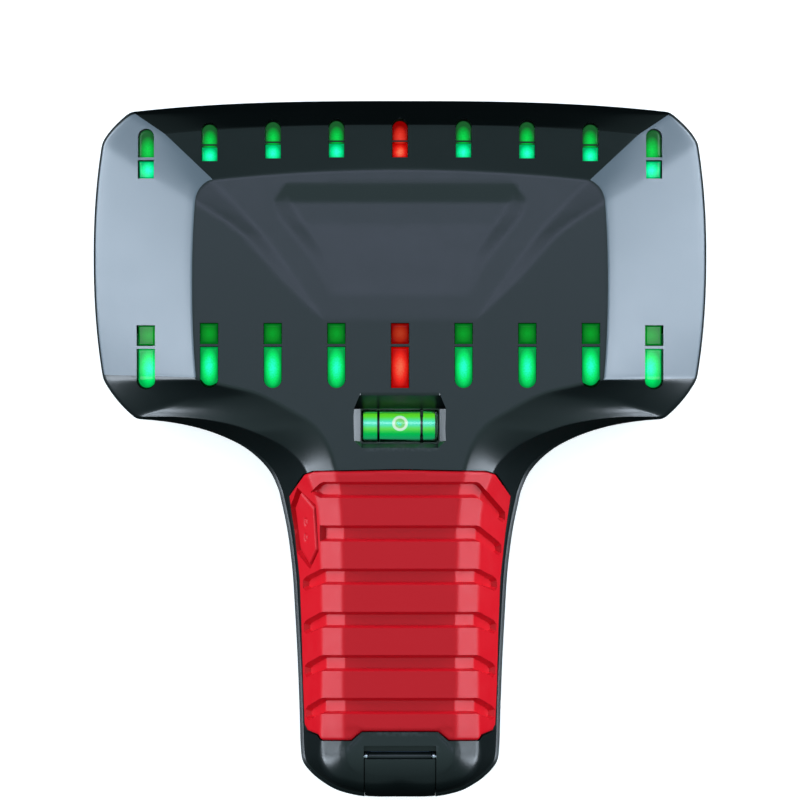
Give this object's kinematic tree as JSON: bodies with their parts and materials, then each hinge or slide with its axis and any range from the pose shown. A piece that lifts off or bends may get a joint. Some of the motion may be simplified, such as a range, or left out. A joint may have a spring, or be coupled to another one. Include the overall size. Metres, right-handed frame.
{
  "type": "stud finder",
  "caption": "T-shaped hand-held wall detector with a red rubber grip, rows of indicator lights, a bubble level and a hinged battery door.",
  "frame": {"origin": "middle of the footprint, on the surface that the sensing face's pads rest on", "axes": "+X to the right of the front face, +Y from the grip towards the head, +Z out of the front face; the tool lies on its sensing face"},
  "size_m": [0.1592, 0.1809, 0.0338],
  "materials": {
    "casing": "fine satin grain",
    "rubber_red": "matt elastomer",
    "lens_green": "clear tinted, lit from inside",
    "lens_red": "clear tinted, lit from inside",
    "vial_acrylic": "polished clear acrylic",
    "vial_liquid": "clear green liquid",
    "bubble": "air bubble",
    "black_plastic": "satin",
    "white_plastic": "satin",
    "circuit_board": "solder mask",
    "copper": "enamelled copper wire",
    "steel": "plated",
    "glide_felt": "short felt",
    "battery_wrap": "printed steel can with no lettering"
  },
  "bodies": {
    "casing": {"front_shell": "casing", "rear_shell": "casing", "grip_overmould": "rubber_red", "battery_lead_red": "rubber_red", "light_top_1": "lens_green", "light_low_1": "lens_green", "light_top_2": "lens_green", "light_low_2": "lens_green", "light_top_3": "lens_green", "light_low_3": "lens_green", "light_top_4": "lens_green", "light_low_4": "lens_green", "light_top_5": "lens_red", "light_low_5": "lens_red", "light_top_6": "lens_green", "light_low_6": "lens_green", "light_top_7": "lens_green", "light_low_7": "lens_green", "light_top_8": "lens_green", "light_low_8": "lens_green", "light_top_9": "lens_green", "light_low_9": "lens_green", "vial_barrel": "vial_acrylic", "vial_plug": "vial_acrylic", "vial_fluid": "vial_liquid", "vial_ring_left": "black_plastic", "vial_ring_right": "black_plastic", "vial_retainer": "black_plastic", "microcontroller": "black_plastic", "buzzer": "black_plastic", "tact_switch": "black_plastic", "battery_snap": "black_plastic", "battery_tray": "black_plastic", "battery_lead_black": "black_plastic", "led_strip_top": "white_plastic", "led_strip_low": "white_plastic", "cable_socket": "white_plastic", "main_board": "circuit_board", "switch_board": "circuit_board", "detector_coil": "copper", "hinge_pin": "steel", "board_screw_left": "steel", "board_screw_right": "steel", "screw_head_left": "steel", "screw_head_right": "steel", "screw_neck_left": "steel", "screw_neck_right": "steel", "screw_grip_left": "steel", "screw_grip_right": "steel", "glide_pad_left": "glide_felt", "glide_pad_right": "glide_felt", "glide_pad_grip": "glide_felt", "battery": "battery_wrap"},
    "power_button": {"power_button": "rubber_red", "switch_plunger": "white_plastic"},
    "battery_door": {"battery_door": "casing"},
    "bubble": {"vial_bubble": "bubble"}
  },
  "joints": [
    {"name": "power_button_press", "type": "slide", "parent": "casing", "child": "power_button", "axis": [1, 0, 0], "range_m": [0, 0.0008], "stiffness_N_per_m": 1200, "springref_m": -0.0004},
    {"name": "battery_door_swing", "type": "hinge", "parent": "casing", "child": "battery_door", "pos_m": [0, -0.0797, 0.0313], "axis": [-1, 0, 0], "range_deg": [0, 100]},
    {"name": "bubble_slide", "type": "slide", "parent": "casing", "child": "bubble", "axis": [1, 0, 0], "range_m": [-0.0035, 0.0035]}
  ]
}
